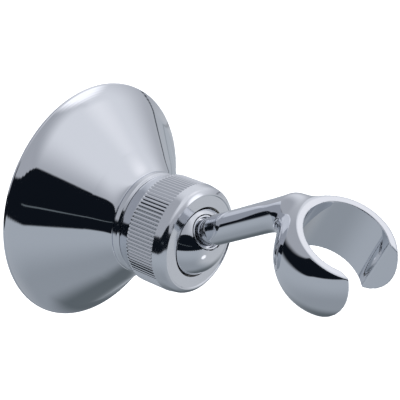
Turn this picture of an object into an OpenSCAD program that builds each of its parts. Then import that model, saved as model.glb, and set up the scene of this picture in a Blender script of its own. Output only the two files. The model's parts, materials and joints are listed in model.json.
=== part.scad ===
// Wall holder with a ball joint and an open C-shaped clip, all in polished chrome.
// The wall face is the plane y = 0 and the rose points along -Y, with +Z up.

/* [Rose] */
// Radius of the cone's rim at the wall
rose_r = 38.5; // [30:0.5:45]
// Fall of the cone's radius for each millimetre from the wall
rose_slope = 0.955; // [0.8:0.005:1.1]
// Thickness of the cone's wall
rose_wall = 1.2; // [0.8:0.1:2]
// Outer radius of the plain collar in front of the cone
collar_r = 16.2; // [14:0.1:18]

/* [Nut] */
// Radius over the ridges of the clamping nut
nut_r = 17.2; // [15:0.1:19]
// Number of ridges around the nut
ridges = 90; // [60:2:120]
// Depth of the grooves between the ridges
ridge_depth = 0.4; // [0.2:0.05:0.6]

/* [Ball] */
// Radius of the ball
ball_r = 11.6; // [10.8:0.1:12.5]
// Distance of the ball's centre from the wall
ball_y = 40.3; // [39:0.1:42]

/* [Arm] */
// Radius of the round arm
arm_r = 4.5; // [3.5:0.1:5.5]
// Length of the arm's line from the ball's centre to the clip's foot on it
arm_l = 65.8; // [60:0.1:72]
// Drop of the clip's centre under the arm's line
clip_drop = 10.3; // [8:0.1:12]
// How far the arm points up from level
arm_up = 29.9; // [15:0.1:45]
// How far the arm points off to the side
arm_side = -7.5; // [-15:0.1:15]
// How far the arm is turned about its own line
arm_roll = -3; // [-20:0.5:20]

/* [Clip] */
// Radius of the round hole that holds the dryer
clip_bore_r = 12; // [11:0.1:13.5]
// Radius of the sphere that the clip is cut from
clip_r = 16.4; // [15:0.1:18]
// Depth of the sphere's centre under the clip's flat top
clip_sink = 8.5; // [6:0.1:9]
// Angle from the arm's line to the clip's flat top
clip_tilt = 57.8; // [45:0.1:75]
// Width of the clip's mouth
mouth_w = 19.2; // [16:0.1:22]

/* [Wall plate] */
// Distance between the two screw holes in the wall plate
plate_pitch = 40; // [34:0.5:44]
// Radius of each screw hole
plate_hole_r = 2.25; // [2:0.05:2.6]
// Thickness of the wall plate
plate_t = 2.5; // [2:0.1:3]

/* [Hidden] */
chrome = [0.72, 0.74, 0.77];
steel = [0.60, 0.61, 0.62];
zinc = [0.66, 0.66, 0.62];
plastic = [0.90, 0.90, 0.87];
rubber = [0.10, 0.10, 0.11];
// Running clearance on a radius, and plain air between pieces that never bear on each other
gap = 0.05;
air = 0.3;
// How far a cutting shape passes a face
past = 1;
far = 60;
$fn = 96;

// Wall plate, and the stud that joins it to the socket
plate_r = 30;
plate_slot = 1.5;
boss_r = 9;
boss_y = 14.5;
stud_r = 4;
stud_y0 = 4;
stud_y1 = 25;
lock_nut_flats = 13;
lock_nut_t = 4;
lock_washer_r = 8;
lock_washer_t = 1.6;

// Rose
lip_edge = 0.75;
lip_y = 3;
cone_base_r = rose_r - 0.6;
neck_y = 17;
rose_y1 = 23.8;
rose_front_r = 16.3;
flare_pull_r = 0.9;
flare_pull_y = 4.4;
flare_steps = 12;
gasket_t = 0.8;
gasket_w = 1.4;
gasket_r = rose_r - 2.1;

// Socket, from its shank to its threaded mouth
shank_r = 7.9;
shank_y0 = boss_y + lock_nut_t + lock_washer_t;
collar_y1 = 26.2;
collar_round = 0.5;
socket_r = 13.4;
socket_y1 = 38.6;
cup_r = 12.1;
cup_y0 = 27.9;
spring_t = 0.5;
spring_rise = 0.5;
spring_r0 = 7.5;
spring_r1 = 11.8;
seat_y0 = cup_y0 + spring_t + spring_rise;
seat_y1 = 36.4;
seat_bore_r = 7.5;

// Clamping nut
nut_y0 = 26.4;
nut_back_r = 15.6;
ridge_y0 = 31.3;
ridge_y1 = 40.7;
bevel_end = 0.4;
band_r = nut_r - 0.15;
nose_y0 = 41.2;
nose_y1 = 45.1;
crest_r = 15.05;
crest_w = 0.5;
face_y = 44.8;
nut_inner_y = 42.9;
front_seat_y0 = 40.5;
front_seat_w = 2;

// Ball, neck stud and washer, measured along the arm from the ball's centre
flat_s = 10.1;
pocket_r = 5.5;
pocket_s = 7.5;
washer_r = 5.2;
washer_t = 0.8;
washer_lip_r = 4.6;
washer_lip_s = 10.2;
neck_r = 4.1;
neck_s1 = 13.9;
spigot_r = 2.5;
spigot_ball = 7;
spigot_play = 1;
spigot_arm = 11;
arm_chamfer = 0.5;
arm_tip = 51;
arm_tip_t = 3.5;
arm_tip_r = 2;

// Clip, and the bend that runs the arm into its back
bend_r = 6;
bend_bar_r = arm_r - 0.1;
clip_edge = 0.3;
clip_foot = clip_sink + sqrt(clip_r * clip_r - clip_bore_r * clip_bore_r) - clip_edge;
ball_s_x = -clip_drop - clip_sink * cos(clip_tilt);
ball_s_z = arm_l - clip_sink * sin(clip_tilt);
bend_x = -arm_r - bend_r;
bend_reach = clip_r + bend_r;
bend_z = ball_s_z - sqrt(bend_reach * bend_reach - (ball_s_x - bend_x) * (ball_s_x - bend_x));
bend_angle = atan2(ball_s_z - bend_z, ball_s_x - bend_x);

// Places a shape drawn along +Z so that it points out from the wall, y mm off the wall
module outward(y = 0)
{
    translate([0, -y, 0])
        rotate([90, 0, 0])
            children();
}

// Full turn of an outline of [radius, distance from the wall] points
module turned(points)
{
    outward()
        rotate_extrude()
            polygon(points);
}

// Plain ring between two distances from the wall
module ring(r_out, r_in, y0, y1)
{
    turned([[r_in, y0], [r_out, y0], [r_out, y1], [r_in, y1]]);
}

// Sphere around the ball's centre
module about_ball(r)
{
    translate([0, -ball_y, 0])
        sphere(r);
}

// Arm frame: +Z along the arm from the ball's centre, +X to the arm's upper side
module on_arm()
{
    translate([0, -ball_y, 0])
        rotate([0, 0, arm_side])
            rotate([-arm_up, 0, 0])
                rotate([90, 0, 0])
                    rotate([0, 0, 90 - arm_roll])
                        children();
}

// Clip frame: the flat top is z = 0, the hole runs along Z and the mouth faces +X
module on_clip()
{
    translate([-clip_drop, 0, arm_l])
        rotate([0, 90 - clip_tilt, 0])
            rotate([0, 0, 180])
                children();
}

// Stamped disc with two short slots and a threaded boss
module wall_plate()
{
    color(zinc)
        difference()
        {
            union()
            {
                outward()
                    cylinder(r = plate_r, h = plate_t);
                outward()
                    cylinder(r = boss_r, h = boss_y);
            }
            outward(stud_y0)
                cylinder(r = stud_r, h = far);
            for (side = [-1, 1])
                plate_slot_cut(side * plate_pitch / 2);
        }
}

// One screw slot of the wall plate, short and level
module plate_slot_cut(x)
{
    outward(-past)
    {
        for (end = [-1, 1])
            translate([x + end * plate_slot / 2, 0, 0])
                cylinder(r = plate_hole_r, h = plate_t + 2 * past);
        translate([x - plate_slot / 2, -plate_hole_r, 0])
            cube([plate_slot, 2 * plate_hole_r, plate_t + 2 * past]);
    }
}

// Threaded rod between the plate and the socket
module centre_stud()
{
    color(steel)
        outward(stud_y0)
            cylinder(r = stud_r, h = stud_y1 - stud_y0);
}

// Thin hexagon nut that locks the stud to the boss
module lock_nut()
{
    color(steel)
        difference()
        {
            outward(boss_y)
                cylinder(r = lock_nut_flats / sqrt(3), h = lock_nut_t, $fn = 6);
            outward(boss_y - past)
                cylinder(r = stud_r, h = lock_nut_t + 2 * past);
        }
}

// Plain washer between the lock nut and the socket's shank
module lock_washer()
{
    color(steel)
        ring(lock_washer_r, stud_r, boss_y + lock_nut_t, shank_y0);
}

// Soft ring that the rim stands on
module rim_gasket()
{
    color(rubber)
        ring(gasket_r, gasket_r - gasket_w, 0, gasket_t);
}

// Radius of the cone at a distance from the wall, easing into the collar past the neck
function cone_r(y) = cone_base_r - rose_slope * y;
function flare_r(t) = cone_r(neck_y) * (1 - t) * (1 - t)
                      + 2 * (rose_front_r + flare_pull_r) * t * (1 - t) + rose_front_r * t * t;
function flare_y(t) = neck_y * (1 - t) * (1 - t)
                      + 2 * (neck_y + flare_pull_y) * t * (1 - t) + rose_y1 * t * t;

// Spun cone with a lip that spreads at the wall and a flat front wall that the collar clamps
module rose_shell()
{
    flare = [for (i = [0 : flare_steps])
                 [flare_r(i / flare_steps), flare_y(i / flare_steps)]];
    inside = [for (i = [flare_steps : -1 : 0])
                  [flare_r(i / flare_steps) - rose_wall,
                   min(flare_y(i / flare_steps), rose_y1 - rose_wall)]];
    color(chrome)
        turned(concat([[gasket_r, 0], [rose_r, 0], [rose_r, lip_edge]],
                      [[cone_r(lip_y), lip_y]], flare, [[shank_r + gap, rose_y1]],
                      [[shank_r + gap, rose_y1 - rose_wall]], inside,
                      [[gasket_r - gasket_w, gasket_t + rose_wall]],
                      [[gasket_r - gasket_w, gasket_t], [gasket_r, gasket_t]]));
}

// Plain ring in front of the cone
module collar_ring()
{
    color(chrome)
        turned([[shank_r + gap, rose_y1], [collar_r, rose_y1], [collar_r, collar_y1 - collar_round],
                [collar_r - collar_round, collar_y1], [shank_r + gap, collar_y1]]);
}

// Turned cup that the ball's seat sits in, with a shank at the back and a thread outside
module socket()
{
    color(chrome)
        difference()
        {
            turned([[0, shank_y0], [shank_r, shank_y0], [shank_r, collar_y1],
                    [socket_r, collar_y1], [socket_r, socket_y1], [cup_r, socket_y1],
                    [cup_r, cup_y0], [0, cup_y0]]);
            outward(shank_y0 - past)
                cylinder(r = stud_r, h = stud_y1 - shank_y0 + past);
        }
}

// Coned spring washer that loads the seat
module disc_spring()
{
    color(steel)
        turned([[spring_r0, cup_y0 + spring_rise], [spring_r1, cup_y0],
                [spring_r1, cup_y0 + spring_t], [spring_r0, seat_y0]]);
}

// Plastic cup behind the ball
module rear_seat()
{
    color(plastic)
        difference()
        {
            ring(cup_r - gap, seat_bore_r, seat_y0, seat_y1);
            about_ball(ball_r + gap);
        }
}

// Ball with a flat face, a pocket round the neck and a threaded hole for its stud
module ball()
{
    color(chrome)
        difference()
        {
            about_ball(ball_r);
            on_arm()
                translate([0, 0, flat_s])
                    cylinder(r = ball_r, h = ball_r);
            on_arm()
                translate([0, 0, pocket_s])
                    cylinder(r = pocket_r, h = ball_r);
            on_arm()
                translate([0, 0, flat_s - spigot_ball])
                    cylinder(r = spigot_r + gap, h = ball_r);
        }
}

// Plastic ring in front of the ball, pushed by the nut
module front_seat()
{
    color(plastic)
        difference()
        {
            ring(socket_r, ball_r - front_seat_w, front_seat_y0, nut_inner_y - gap);
            about_ball(ball_r + gap);
        }
}

// Outline of the ridged band, with a shallow groove between each two ridges
module ridge_outline()
{
    step = 360 / ridges;
    corners = [0, 0.3, 0.5, 0.8];
    polygon([for (i = [0 : ridges - 1], k = [0 : 3])
                 let (a = (i + corners[k]) * step,
                      r = nut_r - (k < 2 ? 0 : ridge_depth))
                 [r * cos(a), r * sin(a)]]);
}

// Clamping nut: bevelled back, ridged grip, smooth band and rounded nose
module clamp_nut()
{
    nose = [for (a = [0 : 15 : 90])
                [crest_r + (band_r - crest_r) * cos(a), nose_y0 + (nose_y1 - nose_y0) * sin(a)]];
    color(chrome)
        difference()
        {
            union()
            {
                turned(concat([[0, nut_y0], [nut_back_r, nut_y0]],
                              [[nut_r - ridge_depth, ridge_y0 - bevel_end]],
                              [[nut_r - ridge_depth, ridge_y1], [band_r, ridge_y1]], nose,
                              [[crest_r - crest_w, nose_y1], [crest_r - crest_w, face_y], [0, face_y]]));
                outward(ridge_y0)
                    linear_extrude(ridge_y1 - ridge_y0)
                        ridge_outline();
            }
            outward(nut_y0 - past)
                cylinder(r = socket_r + gap, h = nut_inner_y - nut_y0 + past);
            about_ball(ball_r + air);
        }
}

// Cupped washer at the bottom of the ball's pocket, with its lip round the neck
module neck_washer()
{
    color(chrome)
        on_arm()
            difference()
            {
                translate([0, 0, pocket_s + gap])
                    cylinder(r = washer_r, h = washer_lip_s - pocket_s - gap);
                cylinder(r = spigot_r, h = far);
                translate([0, 0, pocket_s + gap + washer_t])
                    cylinder(r = washer_lip_r, h = far);
            }
}

// Turned stud between the ball and the arm, with a plain neck
module neck_stud()
{
    neck_s0 = pocket_s + gap + washer_t;
    color(chrome)
        on_arm()
        {
            translate([0, 0, flat_s - spigot_ball + spigot_play])
                cylinder(r = spigot_r, h = spigot_ball + spigot_arm + neck_s1 - flat_s - 2 * spigot_play);
            translate([0, 0, neck_s0])
                cylinder(r = neck_r, h = neck_s1 - neck_s0);
        }
}

// Bent length of round bar between the arm and the clip's back
module arm_bend()
{
    translate([bend_x, 0, bend_z])
        rotate([90, 0, 0])
            rotate_extrude(angle = bend_angle)
                translate([bend_r + arm_r, 0])
                    circle(bend_bar_r);
}

// Sphere that the clip is cut from, with its sharp foot taken off
module clip_blank()
{
    difference()
    {
        translate([0, 0, -clip_sink])
            sphere(clip_r);
        translate([-clip_r, -clip_r, -clip_foot - clip_r])
            cube([2 * clip_r, 2 * clip_r, clip_r]);
    }
}

// What the clip loses: all above its flat top, the round hole and the mouth
module clip_cuts()
{
    translate([-far / 2, -far / 2, 0])
        cube(far);
    translate([0, 0, -far / 2])
        cylinder(r = clip_bore_r, h = far);
    translate([0, -mouth_w / 2, -far / 2])
        cube([far, mouth_w, far]);
}

// Arm and clip, cast in one piece
module arm_clip()
{
    color(chrome)
        on_arm()
            difference()
            {
                union()
                {
                    translate([0, 0, neck_s1])
                        cylinder(r1 = arm_r - arm_chamfer, r2 = arm_r, h = arm_chamfer);
                    translate([0, 0, neck_s1 + arm_chamfer])
                        cylinder(r = arm_r, h = arm_tip - neck_s1 - arm_chamfer);
                    translate([0, 0, arm_tip])
                        cylinder(r1 = arm_r, r2 = arm_tip_r, h = arm_tip_t);
                    arm_bend();
                    on_clip()
                        clip_blank();
                }
                on_clip()
                    clip_cuts();
                translate([0, 0, neck_s1 - past])
                    cylinder(r = spigot_r, h = spigot_arm + past);
            }
}

wall_plate();
centre_stud();
lock_nut();
lock_washer();
rim_gasket();
rose_shell();
collar_ring();
socket();
disc_spring();
rear_seat();
ball();
front_seat();
clamp_nut();
neck_washer();
neck_stud();
arm_clip();
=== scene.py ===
"""Chrome wall holder with a ball joint and an open C-shaped clip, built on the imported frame."""

import json
import math

import bpy
import numpy as np
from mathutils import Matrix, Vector


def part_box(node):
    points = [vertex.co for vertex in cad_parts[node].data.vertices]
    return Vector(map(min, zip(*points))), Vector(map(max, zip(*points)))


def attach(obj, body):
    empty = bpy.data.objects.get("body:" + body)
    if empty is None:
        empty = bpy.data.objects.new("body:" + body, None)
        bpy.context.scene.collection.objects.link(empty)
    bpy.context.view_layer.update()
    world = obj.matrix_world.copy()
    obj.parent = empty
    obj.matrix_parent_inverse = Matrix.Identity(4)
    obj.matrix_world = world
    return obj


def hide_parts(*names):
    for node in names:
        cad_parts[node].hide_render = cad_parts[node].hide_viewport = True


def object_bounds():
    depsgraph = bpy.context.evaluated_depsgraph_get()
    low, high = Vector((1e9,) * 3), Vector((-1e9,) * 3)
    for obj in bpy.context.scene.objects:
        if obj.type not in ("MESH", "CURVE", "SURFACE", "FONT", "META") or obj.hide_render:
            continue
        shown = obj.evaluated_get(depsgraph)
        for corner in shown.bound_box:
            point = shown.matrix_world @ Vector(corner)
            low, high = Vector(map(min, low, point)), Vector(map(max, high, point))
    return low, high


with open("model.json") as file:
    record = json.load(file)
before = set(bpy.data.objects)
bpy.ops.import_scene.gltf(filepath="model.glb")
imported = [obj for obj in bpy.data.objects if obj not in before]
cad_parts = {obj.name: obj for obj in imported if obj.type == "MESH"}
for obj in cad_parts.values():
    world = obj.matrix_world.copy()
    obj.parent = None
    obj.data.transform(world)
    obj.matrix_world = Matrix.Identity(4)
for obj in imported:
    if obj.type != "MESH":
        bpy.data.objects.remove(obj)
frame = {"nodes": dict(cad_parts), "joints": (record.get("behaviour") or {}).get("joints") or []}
cad_low, cad_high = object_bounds()

# ---------------------------------------------------------------- sizes, in millimetres
# Endings: _R radius, _Y distance from the wall, _S distance from the ball's centre along the arm,
# _L length and _T thickness. The outlines below are corners of (radius, distance, fillet).
MM = 0.001
TURNS = 256                    # facets round a turned piece
ARC = 6                        # most steps round a small rounded edge
NEAR_AXIS = 0.05               # smallest radius of an outline that closes at its axis

ROSE_R = 38.48
ROSE_SLOPE = 0.955
LIP_FLARE = 0.6                # how far the lip stands out from the cone's own line
LIP_Y = 4.0
LIP_MID = 2.2
LIP_EDGE = 0.75
LIP_STEPS = 8
GASKET_R = ROSE_R - 2.1
GASKET_T = 0.8
RIM_BORE = ROSE_R - 3.5
RIM_T = 2.0
ROSE_WALL = 1.2
NECK_Y = 17.0
ROSE_END = -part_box("rose_shell")[0].y / MM
ROSE_FRONT_R = 16.3
FLARE_PULL = (ROSE_FRONT_R + 0.9, NECK_Y + 4.4)
FLARE_STEPS = 16
INNER_FLARE_END = ROSE_END - 2.2
SHANK_HOLE_R = 7.95

COLLAR_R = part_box("collar_ring")[1].x / MM
COLLAR_END = -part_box("collar_ring")[0].y / MM
COLLAR_BEVEL_R = 0.7
COLLAR_BEVEL_L = 0.6

SHANK_R = 7.9
SHANK_BORE = 4.0
CUP_R = 12.1
CUP_FLOOR = 27.9

NUT_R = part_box("clamp_nut")[1].z / MM
NUT_BACK = -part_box("clamp_nut")[1].y / MM
NUT_END = -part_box("clamp_nut")[0].y / MM
NUT_BACK_R = 15.6
NUT_BORE = 13.45
BEVEL_DROP = 0.9
BEVEL_L = 2.6
RIDGES = 90
RIDGE_DEPTH = 0.36
RIDGE_FORM = (0, 0.12, 0.55, 1, 0.55, 0.12)    # share of the depth at even steps from crest to crest
RIDGE_START = 31.3
RIDGE_END = 40.7
NOSE_R = 16.59
NOSE_Y = 44.0
CREST_R = 15.05
CREST_W = 0.35
CREST_STEP = 0.6
FACE_Y = 44.8
HOLE_R = 10.95
DOME_GAP = 0.5                 # between the ball and the hollow that follows it
DOME_END = 42.9
DOME_STOPS = (FACE_Y, 44.4, 43.9, 43.4, DOME_END)

BALL_R = 11.5
BALL_Y = 40.3
FLAT_S = 10.1
WASHER_R = 5.2
WASHER_LIP_R = 4.6
WASHER_LIP_S = 10.2
WASHER_T = 0.8
WASHER_PLAY = 0.05
POCKET_R = 5.5
POCKET_S = 7.5
NECK_R = 4.1
NECK_END = 13.9
STUD_R = 2.5
STUD_HOLE_R = 2.55
STUD_HOLE_END = FLAT_S - 7
STUD_START = FLAT_S - 6
STUD_END = NECK_END + 10
BALL_STEPS = 60

SPRING_BORE = 7.5
SPRING_R = 11.8
SPRING_T = 0.5
SPRING_PLAY = 0.03

ARM_R = 4.5
ARM_L = 65.8
CLIP_DROP = 10.3
CLIP_BORE = 12.0
CLIP_R = 16.4
CLIP_SINK = 8.5
CLIP_TILT = math.radians(57.8)
MOUTH_W = 19.2
CLIP_EDGE = 0.3
EDGE_ROUND = 0.35
SHOULDER_ROUND = 0.9
ARM_BLEND = 9.0
ARM_TIP = 50.0


# ---------------------------------------------------------------- the arm's frame
def joint(name):
    """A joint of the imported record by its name."""
    return next(j for j in frame["joints"] if j["name"] == name)


WALL_OUT = Vector((0, -1, 0))
ARM_DIR = Vector(joint("arm_spin")["axis"]).normalized()
BALL_C = Vector(joint("arm_spin")["pos_m"])
ROLL = math.radians(-3)
LEVEL_SIDE = ARM_DIR.cross(Vector((0, 0, 1))).normalized()
ARM_SIDE = LEVEL_SIDE * math.cos(ROLL) + LEVEL_SIDE.cross(ARM_DIR) * math.sin(ROLL)
ARM_UP = ARM_SIDE.cross(ARM_DIR)


def from_arm(points):
    """Arm frame (up, side, along), millimetres, to the row frame in metres."""
    axes = np.array([ARM_UP, ARM_SIDE, ARM_DIR])
    return np.array(BALL_C) + points @ axes * MM


# ---------------------------------------------------------------- mesh helpers
def make_piece(name, verts, faces, body, material, nodes, normals=None):
    """A smooth mesh piece that stands for CAD nodes."""
    mesh = bpy.data.meshes.new(name)
    mesh.from_pydata([tuple(v) for v in verts], [], faces)
    mesh.update()
    mesh.shade_smooth()
    if normals is not None:
        mesh.normals_split_custom_set_from_vertices([tuple(n) for n in normals])
    obj = bpy.data.objects.new(name, mesh)
    bpy.context.scene.collection.objects.link(obj)
    mesh.materials.append(material)
    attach(obj, body)
    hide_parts(*nodes)
    return obj


def rounded(corners):
    """Closed outline of (radius, along, fillet) corners to points with their outward normals."""
    spots = [Vector((r, y)) for r, y, _ in corners]
    fillets = [fillet for _, _, fillet in corners]
    area = sum(p.x * q.y - q.x * p.y for p, q in zip(spots, spots[1:] + spots[:1]))
    if area < 0:
        spots.reverse()
        fillets.reverse()
    points, normals = [], []
    for before, here, after, fillet in zip(spots[-1:] + spots[:-1], spots, spots[1:] + spots[:1], fillets):
        way_in, way_out = here - before, after - here
        reach = 0.48 * min(way_in.length, way_out.length)
        way_in.normalize()
        way_out.normalize()
        turn = math.atan2(way_in.x * way_out.y - way_in.y * way_out.x, way_in.dot(way_out))
        normal = Vector((way_in.y, -way_in.x))
        if abs(turn) < 1e-4:
            points.append(here)
            normals.append(normal)
            continue
        cut = min(fillet * math.tan(abs(turn) / 2), reach)
        radius = math.copysign(cut / math.tan(abs(turn) / 2), turn)
        centre = here - way_in * cut - normal * radius
        steps = max(1, min(ARC, math.ceil(abs(turn) / 0.12)))
        for k in range(steps + 1):
            a = turn * k / steps
            spun = Vector((normal.x * math.cos(a) - normal.y * math.sin(a),
                           normal.x * math.sin(a) + normal.y * math.cos(a)))
            points.append(centre + spun * radius)
            normals.append(spun)
    return points, normals


def lathe_rows(points, normals, turns, origin, axis):
    """Vertices, quads and normals of an outline turned about an axis."""
    along = axis.normalized()
    first = along.orthogonal().normalized()
    second = along.cross(first)
    verts, norms, faces = [], [], []
    for k in range(turns):
        a = 2 * math.pi * k / turns
        out = first * math.cos(a) + second * math.sin(a)
        for p, n in zip(points, normals):
            verts.append(origin + (out * p.x + along * p.y) * MM)
            norms.append(out * n.x + along * n.y)
    rows = len(points)
    for k in range(turns):
        a, b = k * rows, (k + 1) % turns * rows
        for i in range(rows):
            j = (i + 1) % rows
            faces.append((a + i, b + i, b + j, a + j))
    return verts, faces, norms


def turned(name, corners, body, material, nodes, origin=Vector((0, 0, 0)), axis=WALL_OUT):
    """A lathe-turned piece from its outline's corners."""
    points, normals = rounded(corners)
    verts, faces, norms = lathe_rows(points, normals, TURNS, origin, axis)
    return make_piece(name, verts, faces, body, material, nodes, norms)


# ---------------------------------------------------------------- materials
def chrome(name, tint, rough, seed, rings=0.0):
    """Polished chrome: a faint haze, shallow waves and, on turned pieces, fine tool rings."""
    mat = bpy.data.materials.new(name)
    mat.use_nodes = True
    nodes, links = mat.node_tree.nodes, mat.node_tree.links
    shader = nodes["Principled BSDF"]
    shader.inputs["Base Color"].default_value = (*tint, 1)
    shader.inputs["Metallic"].default_value = 1.0
    coords = nodes.new("ShaderNodeTexCoord")
    haze = nodes.new("ShaderNodeTexNoise")
    haze.noise_dimensions = "4D"
    haze.inputs["W"].default_value = seed
    haze.inputs["Scale"].default_value = 60
    haze.inputs["Detail"].default_value = 5
    links.new(coords.outputs["Object"], haze.inputs["Vector"])
    spread = nodes.new("ShaderNodeMapRange")
    spread.inputs["From Min"].default_value = 0.35
    spread.inputs["From Max"].default_value = 0.75
    spread.inputs["To Min"].default_value = rough
    spread.inputs["To Max"].default_value = rough * 2.2
    links.new(haze.outputs["Fac"], spread.inputs["Value"])
    links.new(spread.outputs["Result"], shader.inputs["Roughness"])
    waves = nodes.new("ShaderNodeBump")
    waves.inputs["Strength"].default_value = 0.3
    waves.inputs["Distance"].default_value = 0.00006
    links.new(haze.outputs["Fac"], waves.inputs["Height"])
    relief = waves
    if rings:
        split = nodes.new("ShaderNodeSeparateXYZ")
        links.new(coords.outputs["Object"], split.inputs["Vector"])
        marks = nodes.new("ShaderNodeTexNoise")
        marks.noise_dimensions = "1D"
        marks.inputs["Scale"].default_value = 2600
        marks.inputs["Detail"].default_value = 3
        links.new(split.outputs["Y"], marks.inputs["W"])
        relief = nodes.new("ShaderNodeBump")
        relief.inputs["Strength"].default_value = rings
        relief.inputs["Distance"].default_value = 0.00001
        links.new(marks.outputs["Fac"], relief.inputs["Height"])
        links.new(waves.outputs["Normal"], relief.inputs["Normal"])
    links.new(relief.outputs["Normal"], shader.inputs["Normal"])
    return mat


def plain(name, tint, rough, metal, scale, bump):
    """Cast, plated, moulded or rubber surface with fine grain."""
    mat = bpy.data.materials.new(name)
    mat.use_nodes = True
    nodes, links = mat.node_tree.nodes, mat.node_tree.links
    shader = nodes["Principled BSDF"]
    shader.inputs["Metallic"].default_value = metal
    coords = nodes.new("ShaderNodeTexCoord")
    grain = nodes.new("ShaderNodeTexNoise")
    grain.inputs["Scale"].default_value = scale
    grain.inputs["Detail"].default_value = 6
    links.new(coords.outputs["Object"], grain.inputs["Vector"])
    shade = nodes.new("ShaderNodeValToRGB")
    shade.color_ramp.elements[0].color = (*[c * 0.82 for c in tint], 1)
    shade.color_ramp.elements[1].color = (*[min(c * 1.1, 1) for c in tint], 1)
    links.new(grain.outputs["Fac"], shade.inputs["Fac"])
    links.new(shade.outputs["Color"], shader.inputs["Base Color"])
    spread = nodes.new("ShaderNodeMapRange")
    spread.inputs["To Min"].default_value = rough * 0.8
    spread.inputs["To Max"].default_value = min(rough * 1.25, 1)
    links.new(grain.outputs["Fac"], spread.inputs["Value"])
    links.new(spread.outputs["Result"], shader.inputs["Roughness"])
    relief = nodes.new("ShaderNodeBump")
    relief.inputs["Strength"].default_value = bump
    relief.inputs["Distance"].default_value = 0.0001
    links.new(grain.outputs["Fac"], relief.inputs["Height"])
    links.new(relief.outputs["Normal"], shader.inputs["Normal"])
    return mat


CHROME = (0.76, 0.78, 0.82)
chrome_shell = chrome("chrome_spun", CHROME, 0.03, 1, 0.1)
chrome_turned = chrome("chrome_turned", CHROME, 0.065, 2, 0.8)
chrome_ball = chrome("chrome_ball", CHROME, 0.03, 3)
chrome_arm = chrome("chrome_cast", CHROME, 0.03, 4)
chrome_neck = chrome("chrome_neck", CHROME, 0.13, 5)
zinc = plain("zinc_cast", (0.42, 0.42, 0.40), 0.45, 0.9, 900, 0.5)
steel = plain("steel_plated", (0.50, 0.51, 0.50), 0.3, 1.0, 1400, 0.3)
acetal = plain("acetal", (0.78, 0.77, 0.72), 0.4, 0.0, 1200, 0.2)
rubber = plain("rubber", (0.03, 0.03, 0.032), 0.7, 0.0, 1500, 0.6)


# ---------------------------------------------------------------- rose, collar, nut, ball
def cone_r(y):
    """Outer radius of the cone at a distance from the wall."""
    return ROSE_R - LIP_FLARE - ROSE_SLOPE * y


def bend(start, pull, end, t):
    """Point on a quadratic curve between two ends."""
    return tuple(a * (1 - t) ** 2 + 2 * b * t * (1 - t) + c * t * t for a, b, c in zip(start, pull, end))


def flare(t):
    """Point on the flare between the cone and the collar."""
    return bend((cone_r(NECK_Y), NECK_Y), FLARE_PULL, (ROSE_FRONT_R, ROSE_END), t)


def lip(t):
    """Point on the lip between the wall and the cone."""
    return bend((ROSE_R, LIP_EDGE), (cone_r(LIP_MID), LIP_MID), (cone_r(LIP_Y), LIP_Y), t)


def build_rose():
    """Spun cone: a lip that flares at the wall, a straight wall and a flared neck."""
    neck = [flare(i / FLARE_STEPS) for i in range(FLARE_STEPS + 1)]
    inner_end = ROSE_END - ROSE_WALL
    outside = [(GASKET_R, 0, 0.2), (ROSE_R, 0, 0.2), (ROSE_R, LIP_EDGE, 0.45)]
    outside += [(*lip(i / LIP_STEPS), 5) for i in range(1, LIP_STEPS + 1)]
    outside += [(r, y, 3) for r, y in neck[:-1]] + [(*neck[-1], 0.35)]
    inside = [(SHANK_HOLE_R, ROSE_END, 0.1), (SHANK_HOLE_R, inner_end, 0.1)]
    inside += [(r - ROSE_WALL, min(y, inner_end), 1) for r, y in reversed(neck) if y < INNER_FLARE_END]
    inside += [(RIM_BORE, RIM_T, 0.2), (RIM_BORE, GASKET_T, 0.1), (GASKET_R, GASKET_T, 0.1)]
    return turned("rose_cone", outside + inside, "rose", chrome_shell, ["rose_shell"])


def build_collar():
    """Plain ring in front of the cone, bevelled toward the nut."""
    ring = [(SHANK_HOLE_R, ROSE_END, 0.1), (COLLAR_R, ROSE_END, 0.4),
            (COLLAR_R, COLLAR_END - COLLAR_BEVEL_L, 0.5), (COLLAR_R - COLLAR_BEVEL_R, COLLAR_END, 0.3),
            (SHANK_HOLE_R, COLLAR_END, 0.1)]
    return turned("collar", ring, "rose", chrome_turned, ["collar_ring"])


def build_socket():
    """Shank and cup that carry the ball, hidden behind the nut."""
    low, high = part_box("socket")
    start, mouth = -high.y / MM, -low.y / MM
    outer = high.x / MM
    ring = [(SHANK_BORE, start, 0.2), (SHANK_R, start, 0.3), (SHANK_R, COLLAR_END, 0.1),
            (outer, COLLAR_END, 0.2), (outer, mouth, 0.4), (CUP_R, mouth, 0.2), (CUP_R, CUP_FLOOR, 0.2),
            (SHANK_BORE, CUP_FLOOR, 0.2)]
    return turned("socket_cup", ring, "rose", chrome_turned, ["socket"])


def nut_outline():
    """Corners of the clamping nut before its ridges are cut."""
    inner = BALL_R + DOME_GAP
    back = [(NUT_BORE, NUT_BACK, 0.15), (NUT_BACK_R, NUT_BACK, 0.3),
            (NUT_R - BEVEL_DROP, RIDGE_START - BEVEL_L, 2.0), (NUT_R - 0.05, RIDGE_START - 0.5, 0.2)]
    band = [(NUT_R, RIDGE_START, 0.05), (NUT_R, RIDGE_END, 0.05), (NUT_R - 0.1, RIDGE_END + 0.3, 0.1)]
    nose = [(NOSE_R, NOSE_Y, 3.2), (CREST_R, NUT_END, 0.12), (CREST_R - CREST_W, NUT_END, 0.1),
            (CREST_R - CREST_STEP, FACE_Y, 0.1), (HOLE_R, NUT_END, 0.25)]
    dome = [(math.sqrt(inner ** 2 - (y - BALL_Y) ** 2), y, 0.2) for y in DOME_STOPS]
    return back + band + nose + dome + [(NUT_BORE, DOME_END, 0.1)]


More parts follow.
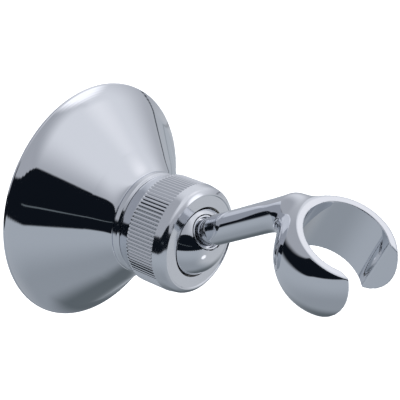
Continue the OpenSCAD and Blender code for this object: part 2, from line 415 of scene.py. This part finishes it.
def build_nut():
    """Clamping nut: straight ridges cut round the turned blank."""
    per_ridge = len(RIDGE_FORM)
    points, normals = rounded(nut_outline())
    verts, faces, _ = lathe_rows(points, normals, RIDGES * per_ridge, Vector((0, 0, 0)), WALL_OUT)
    rows = len(points)
    for i, v in enumerate(verts):
        p = points[i % rows]
        if p.x < NUT_R - 0.02 or not RIDGE_START - 0.1 < p.y < RIDGE_END + 0.1:
            continue
        groove = RIDGE_FORM[i // rows % per_ridge]
        verts[i] = v - Vector((v.x, 0, v.z)).normalized() * RIDGE_DEPTH * groove * MM
    obj = make_piece("clamp_ring", verts, faces, "nut", chrome_turned, ["clamp_nut"])
    obj.data.set_sharp_from_angle(angle=math.radians(28))
    weighted = obj.modifiers.new("weighted", "WEIGHTED_NORMAL")
    weighted.keep_sharp = True
    weighted.weight = 60
    return obj


def build_ball():
    """Ball with a flat, a pocket for the cupped washer and the neck's hole."""
    edge = math.sqrt(BALL_R ** 2 - FLAT_S ** 2)
    first = math.atan2(edge, FLAT_S)
    last = math.pi - 0.02
    angles = [first + (last - first) * (k / BALL_STEPS) for k in range(1, BALL_STEPS + 1)]
    corners = [(STUD_HOLE_R, POCKET_S, 0.05), (POCKET_R, POCKET_S, 0.2), (POCKET_R, FLAT_S, 0.15),
               (edge, FLAT_S, 0.2)]
    corners += [(BALL_R * math.sin(a), BALL_R * math.cos(a), 5) for a in angles]
    corners += [(NEAR_AXIS, -BALL_R + 0.2, 0.01), (NEAR_AXIS, STUD_HOLE_END, 0.01),
                (STUD_HOLE_R, STUD_HOLE_END, 0.05)]
    return turned("ball_piece", corners, "ball", chrome_ball, ["ball"], BALL_C, ARM_DIR)


def build_spring():
    """Coned spring washer, just clear of the seat that turns in front of it."""
    low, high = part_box("disc_spring")
    back, front = -high.y / MM, -low.y / MM - SPRING_PLAY
    ring = [(SPRING_BORE, front - SPRING_T, 0.05), (SPRING_R, back, 0.05),
            (SPRING_R, back + SPRING_T, 0.05), (SPRING_BORE, front, 0.05)]
    turned("coned_spring", ring, "rose", steel, ["disc_spring"])


def build_neck():
    """Cupped washer in the ball's pocket, and the neck stud through it."""
    base = POCKET_S + WASHER_PLAY
    seat = base + WASHER_T
    ring = [(STUD_R, base, 0.05), (WASHER_R, base, 0.25), (WASHER_R, WASHER_LIP_S, 0.28),
            (WASHER_LIP_R, WASHER_LIP_S, 0.28), (WASHER_LIP_R, seat, 0.2), (STUD_R, seat, 0.05)]
    turned("washer", ring, "arm", chrome_neck, ["neck_washer"], BALL_C, ARM_DIR)
    stud = [(NEAR_AXIS, STUD_START, 0.01), (STUD_R, STUD_START, 0.3), (STUD_R, seat, 0.05),
            (NECK_R, seat, 0.15), (NECK_R, NECK_END, 0.15), (STUD_R, NECK_END, 0.05),
            (STUD_R, STUD_END, 0.3), (NEAR_AXIS, STUD_END, 0.01)]
    turned("neck", stud, "arm", chrome_neck, ["neck_stud"], BALL_C, ARM_DIR)


# ---------------------------------------------------------------- arm and clip, one smooth casting
def join(a, b, r):
    """Union of two fields with a soft fillet about r wide."""
    h = np.maximum(r - np.abs(a - b), 0) / r
    return np.minimum(a, b) - h ** 3 * r / 6


def both(a, b, r):
    """Intersection of two fields with a rounded edge."""
    u = np.maximum(r + a, 0)
    v = np.maximum(r + b, 0)
    return np.minimum(-r, np.maximum(a, b)) + np.sqrt(u * u + v * v)


CLIP_UP = np.array([math.cos(CLIP_TILT), 0, math.sin(CLIP_TILT)])
CLIP_OUT = np.array([-math.sin(CLIP_TILT), 0, math.cos(CLIP_TILT)])
CLIP_C = np.array([-CLIP_DROP, 0, ARM_L])
CLIP_FOOT = CLIP_SINK + math.sqrt(CLIP_R ** 2 - CLIP_BORE ** 2) - CLIP_EDGE
SKIN_LOW = (-33.0, -17.5, NECK_END - 1.0)
SKIN_HIGH = (6.0, 17.5, 86.0)
SKIN_STEP = 0.3
SKIN_PASSES = 6


def clip_field(p):
    """About the signed distance to the arm and clip, for points in the arm's frame."""
    past_tip = np.maximum(p[:, 2] - ARM_TIP, 0)
    off_line = np.sqrt(p[:, 0] ** 2 + p[:, 1] ** 2 + past_tip ** 2)
    bar = both(off_line - ARM_R, NECK_END - p[:, 2], SHOULDER_ROUND)
    q = p - CLIP_C
    up = q @ CLIP_UP
    ball = both(np.linalg.norm(q + CLIP_SINK * CLIP_UP, axis=1) - CLIP_R, up, EDGE_ROUND)
    f = join(bar, both(ball, -CLIP_FOOT - up, EDGE_ROUND), ARM_BLEND)
    out = q @ CLIP_OUT
    side = q[:, 1]
    f = both(f, up, EDGE_ROUND)
    f = both(f, CLIP_BORE - np.hypot(out, side), EDGE_ROUND)
    mouth = np.maximum(-out, np.abs(side) - MOUTH_W / 2)
    return both(f, -mouth, EDGE_ROUND)


def skin(field, low, high, step):
    """Quads over the zero surface of a field, one vertex for each cell it crosses."""
    axes = [np.arange(a, b + step, step) for a, b in zip(low, high)]
    shape = tuple(len(a) for a in axes)
    value = np.empty(shape)
    for i, x in enumerate(axes[0]):
        y, z = np.meshgrid(axes[1], axes[2], indexing="ij")
        slab = np.stack([np.full(y.size, x), y.ravel(), z.ravel()], axis=1)
        value[i] = field(slab).reshape(y.shape)
    inside = value < 0
    corner = [inside[i:shape[0] - 1 + i, j:shape[1] - 1 + j, k:shape[2] - 1 + k]
              for i in (0, 1) for j in (0, 1) for k in (0, 1)]
    count = sum(c.astype(np.int8) for c in corner)
    cells = np.argwhere((count > 0) & (count < 8))
    index = np.full(count.shape, -1, np.int64)
    index[tuple(cells.T)] = np.arange(len(cells))
    verts = np.array(low) + (cells + 0.5) * step
    quads = []
    for d in range(3):
        e, g = [(1, 2), (2, 0), (0, 1)][d]
        near = [slice(None)] * 3
        far = [slice(None)] * 3
        near[d] = slice(0, -1)
        far[d] = slice(1, None)
        cross = inside[tuple(near)] != inside[tuple(far)]
        spots = np.argwhere(cross)
        keep = (spots[:, e] > 0) & (spots[:, e] < count.shape[e])
        keep &= (spots[:, g] > 0) & (spots[:, g] < count.shape[g])
        spots = spots[keep]
        outward = inside[tuple(near)][tuple(spots.T)]
        around = []
        for de, dg in ((-1, -1), (0, -1), (0, 0), (-1, 0)):
            c = spots.copy()
            c[:, e] += de
            c[:, g] += dg
            around.append(index[tuple(c.T)])
        ring = np.stack(around, axis=1)
        quads.append(np.where(outward[:, None], ring, ring[:, ::-1]))
    return verts, np.concatenate(quads)


def slope(field, p):
    """Unit gradient of a field and its length, by small differences."""
    h = 0.01
    g = np.stack([(field(p + h * e) - field(p - h * e)) / (2 * h) for e in np.eye(3)], axis=1)
    size = np.linalg.norm(g, axis=1, keepdims=True)
    return g / np.maximum(size, 1e-6), size


def build_clip():
    """Arm and clip: a coarse skin of the field, then pulled onto its zero surface."""
    step = SKIN_STEP
    verts, quads = skin(clip_field, SKIN_LOW, SKIN_HIGH, step)
    for _ in range(SKIN_PASSES):
        g, size = slope(clip_field, verts)
        move = clip_field(verts)[:, None] * g / np.maximum(size, 0.3)
        verts = verts - np.clip(move, -step, step)
    g, _ = slope(clip_field, verts)
    axes = np.array([ARM_UP, ARM_SIDE, ARM_DIR])
    return make_piece("arm_and_clip", from_arm(verts), quads.tolist(), "arm", chrome_arm,
                      ["arm_clip"], g @ axes)


# ---------------------------------------------------------------- hidden pieces keep their CAD form
def dress(node, material):
    """Give a CAD node's own mesh a procedural material."""
    obj = frame["nodes"][node]
    obj.data.materials.clear()
    obj.data.materials.append(material)


build_rose()
build_collar()
build_socket()
build_nut()
build_ball()
build_spring()
build_neck()
build_clip()
dress("wall_plate", zinc)
dress("centre_stud", steel)
dress("lock_nut", steel)
dress("lock_washer", steel)
dress("rear_seat", acetal)
dress("front_seat", acetal)
dress("rim_gasket", rubber)


# ---------------------------------------------------------------- stage, light and camera
FLOOR_HALF = 6.0
FLOOR_DROP = 0.25
CAMERA_AT = Vector((-0.24189, -0.25445, 0.16605))
CAMERA_AZIMUTH = math.radians(-49.1)
CAMERA_RISE = math.radians(25.42)


def build_floor():
    """Plain pale floor, too far down to take the object's shadow into view."""
    material = bpy.data.materials.new("floor")
    material.use_nodes = True
    shader = material.node_tree.nodes["Principled BSDF"]
    shader.inputs["Base Color"].default_value = (0.93, 0.93, 0.93, 1)
    shader.inputs["Roughness"].default_value = 0.9
    level = cad_low.z - FLOOR_DROP
    corners = [(x * FLOOR_HALF, y * FLOOR_HALF, level) for x, y in ((-1, -1), (1, -1), (1, 1), (-1, 1))]
    mesh = bpy.data.meshes.new("floor")
    mesh.from_pydata(corners, [], [(0, 1, 2, 3)])
    mesh.materials.append(material)
    floor = bpy.data.objects.new("floor", mesh)
    bpy.context.scene.collection.objects.link(floor)
    floor.visible_glossy = False


class Sums:
    """Short hands for arithmetic between shader sockets."""

    def __init__(self, tree):
        self.tree = tree

    def math(self, operation, *values):
        """Result of a maths node on sockets or numbers."""
        node = self.tree.nodes.new("ShaderNodeMath")
        node.operation = operation
        for socket, value in zip(node.inputs, values):
            self.feed(socket, value)
        return node.outputs["Value"]

    def feed(self, socket, value):
        """Link a socket, or set a number, on an input."""
        if isinstance(value, bpy.types.NodeSocket):
            self.tree.links.new(value, socket)
        else:
            socket.default_value = value

    def rise(self, value, low, high):
        """0 below low, 1 above high, smooth between."""
        node = self.tree.nodes.new("ShaderNodeMapRange")
        node.interpolation_type = "SMOOTHSTEP"
        self.feed(node.inputs["Value"], value)
        self.feed(node.inputs["From Min"], low)
        self.feed(node.inputs["From Max"], high)
        return node.outputs["Result"]

    def path(self, value, stops):
        """Smooth curve drawn along (value, result) stops, all angles in degrees."""
        node = self.tree.nodes.new("ShaderNodeValToRGB")
        ramp = node.color_ramp
        ramp.interpolation = "B_SPLINE"
        while len(ramp.elements) < len(stops):
            ramp.elements.new(0.5)
        for element, (place, result) in zip(ramp.elements, stops):
            element.position = (place + 180) / 360
            element.color = [(result + 90) / 180] * 3 + [1]
        self.feed(node.inputs["Fac"], self.math("DIVIDE", self.math("ADD", value, 180.0), 360.0))
        return self.math("SUBTRACT", self.math("MULTIPLY", node.outputs["Color"], 180.0), 90.0)

    def spot(self, direction, bearing, height, inner, outer):
        """1 within inner degrees of a direction, 0 past outer."""
        b, h = math.radians(bearing), math.radians(height)
        node = self.tree.nodes.new("ShaderNodeVectorMath")
        node.operation = "DOT_PRODUCT"
        self.tree.links.new(direction, node.inputs[0])
        node.inputs[1].default_value = (math.sin(b) * math.cos(h), -math.cos(b) * math.cos(h), math.sin(h))
        away = self.math("DEGREES", self.math("ARCCOSINE", node.outputs["Value"]))
        return self.rise(away, float(outer), float(inner))

    def mix(self, factor, a, b):
        """Colour a at factor 0 and b at factor 1."""
        node = self.tree.nodes.new("ShaderNodeMix")
        node.data_type = "RGBA"
        self.feed(node.inputs["Factor"], factor)
        for socket, value in ((node.inputs["A"], a), (node.inputs["B"], b)):
            self.feed(socket, value if isinstance(value, bpy.types.NodeSocket) else (*value, 1))
        return node.outputs["Result"]


STUDIO_LOW = (0.43, 0.465, 0.51)
STUDIO_NADIR = (0.32, 0.35, 0.385)
STUDIO_SIDE = (0.42, 0.435, 0.475)
STUDIO_HIGH = (0.80, 0.815, 0.86)
STUDIO_FRONT = (0.56, 0.58, 0.61)
STUDIO_DARK = (0.005, 0.007, 0.011)
STUDIO_BOX = (1.3, 1.3, 1.35)
STUDIO_SOFT = (1.0, 1.0, 1.04)
STUDIO_GREY = (0.12, 0.14, 0.155)
STUDIO_RAIL = (0.06, 0.07, 0.08)
# Lamps and shades of the room: (bearing, height), full within, none past, colour
LAMPS = [((36, 21), 9, 20, STUDIO_BOX), ((72, 53), 2, 22, STUDIO_SOFT), ((2, -39), 3, 8, STUDIO_BOX),
         ((118, -60), 8, 36, STUDIO_GREY), ((25, 2), 2, 18, STUDIO_SIDE)]
# Thin edges in the room: (height at bearing 0, tilt, left end, right end, colour)
RAILS = [(-7.0, -0.17, -88.0, -36.0, STUDIO_GREY), (23.7, -0.27, 60.0, 128.0, STUDIO_RAIL)]
RAIL_FADE = 8.0
# Upper and lower edge of the dark end of the room, as (bearing, height) in degrees
DARK_TOP = [(-180, 1), (-162, 5), (-148, 7), (-112, 9), (-92, 23), (-72, 34), (-56, 36), (-43, 33),
            (-34, 28.5), (-26, 19), (-21, 9), (-13, 4), (-4, 0), (2, -14)]
DARK_FOOT = [(-180, -11), (-140, -13), (-108, -19), (-92, -15), (-30, -14), (2, -14)]


def build_world():
    """Soft studio: pale above, greyer below, with the room's dark end behind the camera."""
    world = bpy.data.worlds.new("studio")
    bpy.context.scene.world = world
    world.use_nodes = True
    tree = world.node_tree
    sums = Sums(tree)
    coords = tree.nodes.new("ShaderNodeTexCoord")
    split = tree.nodes.new("ShaderNodeSeparateXYZ")
    tree.links.new(coords.outputs["Generated"], split.inputs["Vector"])
    x, y, z = (split.outputs[axis] for axis in "XYZ")
    height = sums.math("DEGREES", sums.math("ARCSINE", z))
    bearing = sums.math("DEGREES", sums.math("ARCTAN2", x, sums.math("MULTIPLY", y, -1.0)))

    overhead = sums.math("MULTIPLY", sums.rise(bearing, -75.0, -5.0), sums.rise(height, 24.0, 50.0))
    window = sums.math("MULTIPLY", sums.rise(bearing, 18.0, 50.0), sums.rise(height, -8.0, 32.0))
    bright = sums.math("MULTIPLY", sums.math("MAXIMUM", overhead, window), sums.rise(bearing, 178.0, 125.0))
    upper = sums.mix(bright, STUDIO_SIDE, STUDIO_HIGH)
    lower = sums.mix(sums.rise(height, -25.0, -65.0), STUDIO_LOW, STUDIO_NADIR)
    front = sums.math("MULTIPLY", sums.rise(bearing, -30.0, 20.0), sums.rise(bearing, 118.0, 95.0))
    front = sums.math("MULTIPLY", front, sums.rise(height, -72.0, -48.0))
    lower = sums.mix(front, lower, STUDIO_FRONT)
    colour = sums.mix(sums.rise(height, -14.0, 6.0), lower, upper)
    for place, inner, outer, light in LAMPS:
        colour = sums.mix(sums.spot(coords.outputs["Generated"], *place, inner, outer), colour, light)
    top = sums.path(bearing, DARK_TOP)
    foot = sums.path(bearing, DARK_FOOT)
    soft = sums.math("ADD", sums.math("MULTIPLY", sums.rise(bearing, -95.0, -150.0), 3.0), 1.2)
    over = sums.math("DIVIDE", sums.math("SUBTRACT", top, height), soft)
    under = sums.math("DIVIDE", sums.math("SUBTRACT", height, foot), soft)
    dark = sums.math("MULTIPLY", sums.rise(over, -1.0, 1.0), sums.rise(under, -1.0, 1.0))
    colour = sums.mix(dark, colour, STUDIO_DARK)
    for level, tilt, left, right, light in RAILS:
        line = sums.math("ADD", level, sums.math("MULTIPLY", bearing, tilt))
        rail = sums.math("ABSOLUTE", sums.math("SUBTRACT", height, line))
        rail = sums.math("MULTIPLY", sums.rise(rail, 0.9, 0.2), sums.rise(bearing, left, left + RAIL_FADE))
        rail = sums.math("MULTIPLY", rail, sums.rise(bearing, right, right - RAIL_FADE))
        colour = sums.mix(rail, colour, light)

    seen = tree.nodes.new("ShaderNodeLightPath").outputs["Is Camera Ray"]
    colour = sums.mix(seen, colour, (1.0, 1.0, 1.0))
    tree.links.new(colour, tree.nodes["Background"].inputs["Color"])


def build_key():
    """Light for the floor and the plain pieces; the chrome mirrors the studio only."""
    data = bpy.data.lights.new("key", "SUN")
    data.energy = 3.2
    data.angle = math.radians(20)
    key = bpy.data.objects.new("key", data)
    bpy.context.scene.collection.objects.link(key)
    key.rotation_euler = (math.radians(-12), math.radians(-10), 0)
    key.visible_glossy = False


def build_camera():
    """Long lens, at the photograph's angle."""
    data = bpy.data.cameras.new("camera")
    data.sensor_width = 36
    data.lens = 108
    camera = bpy.data.objects.new("camera", data)
    bpy.context.scene.collection.objects.link(camera)
    across = Vector((math.sin(CAMERA_AZIMUTH), -math.cos(CAMERA_AZIMUTH), 0))
    back = across * math.cos(CAMERA_RISE) + Vector((0, 0, math.sin(CAMERA_RISE)))
    camera.location = CAMERA_AT
    camera.rotation_mode = "QUATERNION"
    camera.rotation_quaternion = (-back).to_track_quat("-Z", "Y")
    bpy.context.scene.camera = camera


build_floor()
build_world()
build_key()
build_camera()
bpy.context.scene.view_settings.view_transform = "Standard"
